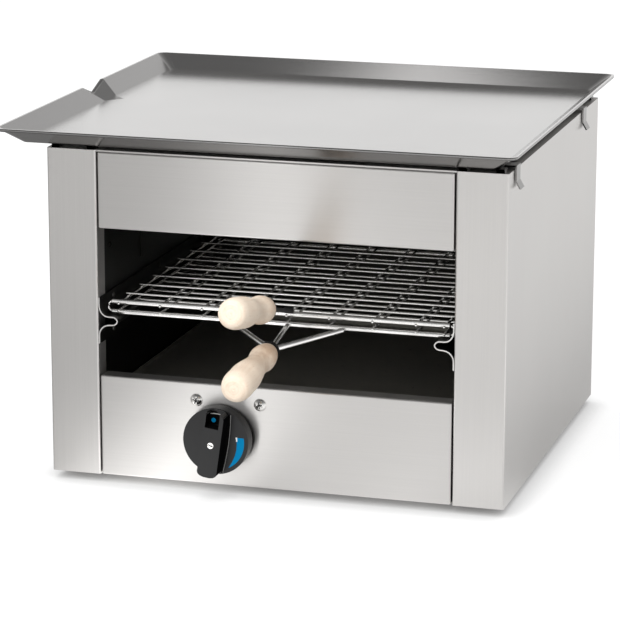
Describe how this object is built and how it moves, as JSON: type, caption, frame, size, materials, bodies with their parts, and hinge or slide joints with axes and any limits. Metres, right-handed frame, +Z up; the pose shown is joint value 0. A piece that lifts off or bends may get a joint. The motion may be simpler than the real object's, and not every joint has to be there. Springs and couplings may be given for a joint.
{
  "type": "gas sandwich toaster",
  "caption": "Countertop gas toaster: a steel cabinet open in front, a hinged wire rack with wooden handles on rails, a control knob and a warming tray with a pouring spout.",
  "frame": {"origin": "on the table, under the middle of the whole outline", "axes": "+X to the right of the person at the front, +Y to the back, +Z up"},
  "size_m": [0.5065, 0.6221, 0.3475],
  "materials": {
    "outer_steel": "satin stainless sheet, brushed",
    "foot_rubber": "matte black rubber",
    "polished_steel": "polished steel",
    "lining_steel": "stainless sheet darkened by heat",
    "rail_steel": "stainless strip",
    "tray_steel": "satin stainless sheet",
    "rack_chrome": "bright plated wire",
    "black_metal": "black, semi-matte",
    "handle_wood": "pale turned wood, bare",
    "knob_plastic": "black moulded plastic",
    "valve_brass": "machined brass",
    "pipe_metal": "drawn tube",
    "burner_steel": "heat-stained steel",
    "tile_ceramic": "porous pale ceramic"
  },
  "bodies": {
    "cabinet": {"left_side_panel": "outer_steel", "right_side_panel": "outer_steel", "back_panel": "outer_steel", "base_plate": "outer_steel", "top_cover": "outer_steel", "upper_front_panel": "outer_steel", "lower_front_panel": "outer_steel", "valve_bracket": "outer_steel", "feet": "foot_rubber", "rear_screws": "polished_steel", "front_screws": "polished_steel", "left_lining": "lining_steel", "right_lining": "lining_steel", "back_lining": "lining_steel", "cavity_floor": "lining_steel", "lining_trim": "lining_steel", "left_runner_rail": "rail_steel", "right_runner_rail": "rail_steel", "rail_rivets": "rail_steel", "tray_supports": "tray_steel", "gas_valve_body": "valve_brass", "gas_injector": "valve_brass", "gas_inlet": "valve_brass", "inlet_pipe": "pipe_metal", "supply_pipe": "pipe_metal", "thermocouple": "pipe_metal", "mixing_tube": "burner_steel", "burner_housing": "burner_steel", "tile_frame": "burner_steel", "burner_hangers": "burner_steel", "ceramic_tiles": "tile_ceramic"},
    "tray": {"warming_tray": "tray_steel", "tray_clips": "tray_steel"},
    "rack": {"lower_grid": "rack_chrome", "lower_handle_frame": "rack_chrome", "lower_ferrule": "black_metal", "lower_wooden_handle": "handle_wood"},
    "rack_lid": {"upper_grid": "rack_chrome", "rack_hinge_eyes": "rack_chrome", "lid_hooks": "rack_chrome", "upper_handle_shank": "black_metal", "upper_ferrule": "black_metal", "upper_wooden_handle": "handle_wood"},
    "crumb_pan": {"crumb_tray": "lining_steel"},
    "valve_stem": {"valve_plunger": "polished_steel"},
    "knob": {"control_knob": "knob_plastic", "knob_screw": "polished_steel", "valve_spindle": "polished_steel"}
  },
  "joints": [
    {"name": "tray_lift", "type": "slide", "parent": "cabinet", "child": "tray", "axis": [0, 0, 1], "range_m": [0, 0.04]},
    {"name": "rack_slide", "type": "slide", "parent": "cabinet", "child": "rack", "axis": [0, -1, 0], "range_m": [0, 0.28]},
    {"name": "rack_open", "type": "hinge", "parent": "rack", "child": "rack_lid", "pos_m": [0.018, 0.19355, 0.169], "axis": [-1, 0, 0], "range_deg": [0, 8]},
    {"name": "crumb_lift", "type": "slide", "parent": "cabinet", "child": "crumb_pan", "axis": [0, 0, 1], "range_m": [0, 0.035]},
    {"name": "knob_push", "type": "slide", "parent": "cabinet", "child": "valve_stem", "axis": [0, 1, 0], "range_m": [0, 0.003], "stiffness_N_per_m": 800, "springref_m": -0.002},
    {"name": "knob_turn", "type": "hinge", "parent": "valve_stem", "child": "knob", "pos_m": [-0.035, -0.14445, 0.0566], "axis": [0, -1, 0], "range_deg": [0, 190]}
  ]
}
